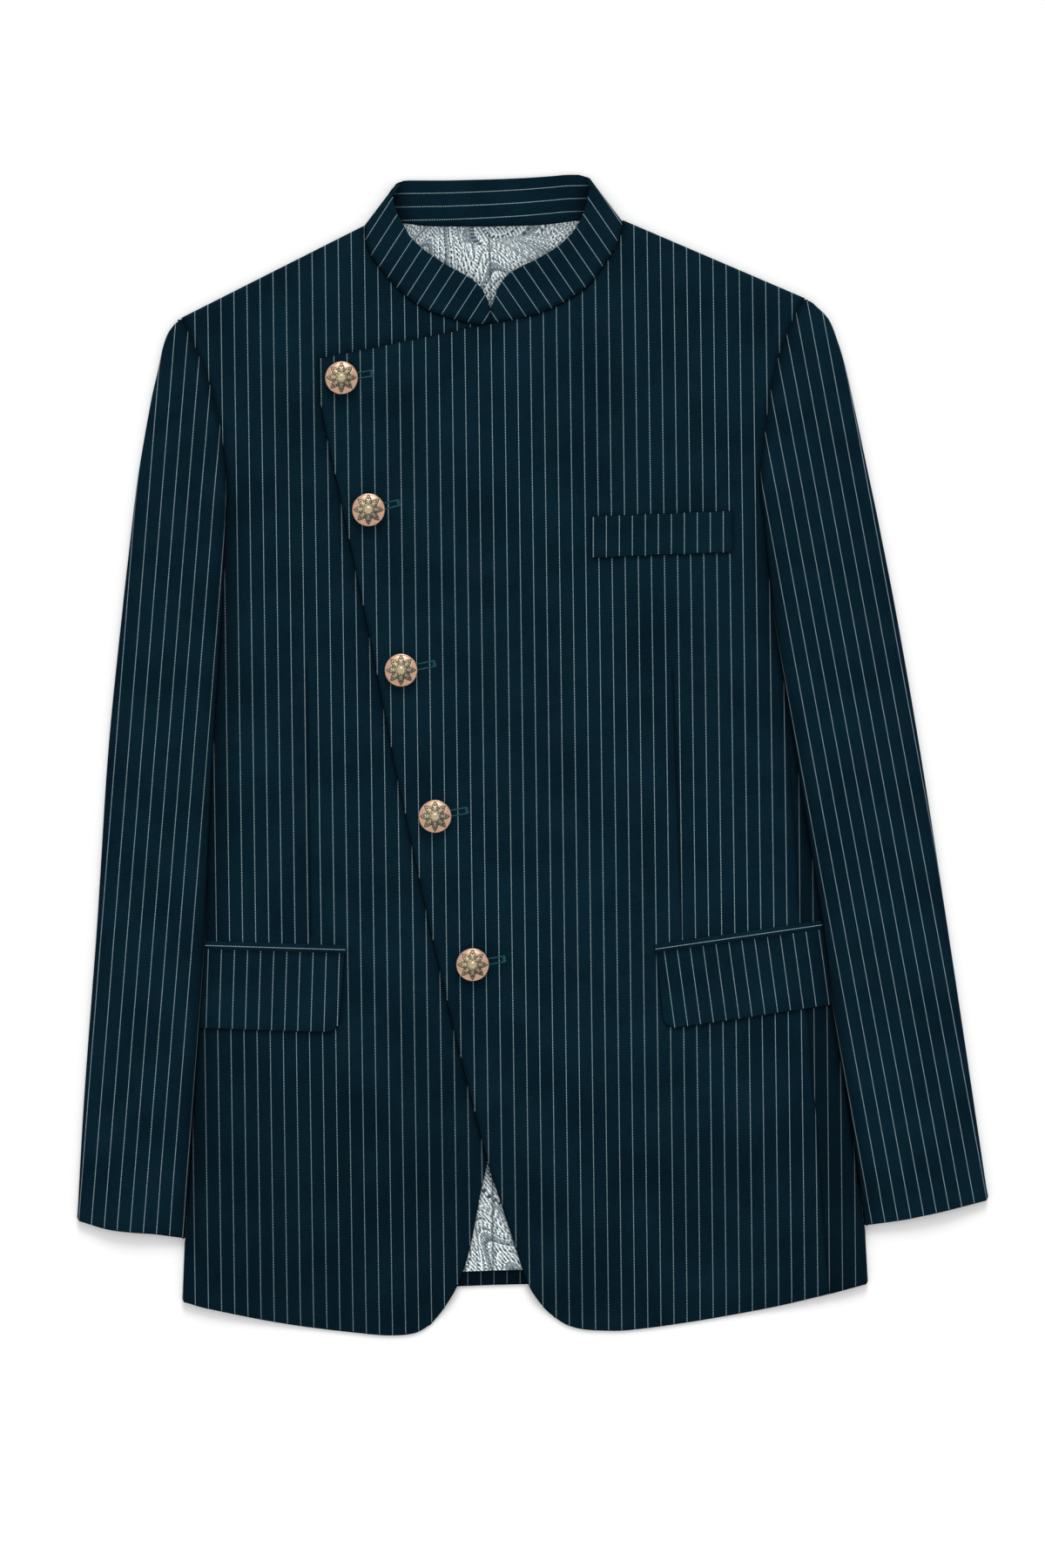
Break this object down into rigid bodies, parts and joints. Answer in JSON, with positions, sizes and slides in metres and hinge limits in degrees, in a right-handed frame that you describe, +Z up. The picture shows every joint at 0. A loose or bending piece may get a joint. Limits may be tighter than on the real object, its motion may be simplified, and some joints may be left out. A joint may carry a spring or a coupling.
{
  "type": "bandhgala jacket",
  "caption": "Bandhgala jacket with stand collar, slanting button front and flap pockets, laid flat on its back; rigid cloth walls.",
  "frame": {"origin": "on the surface under the middle of the laid-out garment's bounding box", "axes": "+X to the wearer's left (right in the picture), +Y from the hem to the collar, +Z up out of the surface, through the front"},
  "size_m": [0.6374, 0.8112, 0.0179],
  "materials": {
    "suiting": "matte wool-look twill, dark teal with fine pin-dot stripes",
    "lining": "satin-faced pale grey-blue jacquard",
    "button_metal": "antique, copper-toned, softly worn"
  },
  "bodies": {
    "root": {"front_right": "suiting", "front_left": "suiting", "side_left": "suiting", "collar": "suiting", "back_right": "suiting", "back_left": "suiting", "upper_sleeve_right": "suiting", "upper_sleeve_left": "suiting", "under_sleeve_right": "suiting", "under_sleeve_left": "suiting", "flap_right": "suiting", "flap_left": "suiting", "jet_right": "suiting", "jet_left": "suiting", "welt_breast": "suiting", "lining_right": "lining", "lining_left": "lining", "button_1": "button_metal", "button_2": "button_metal", "button_3": "button_metal", "button_4": "button_metal", "button_5": "button_metal"}
  },
  "joints": []
}
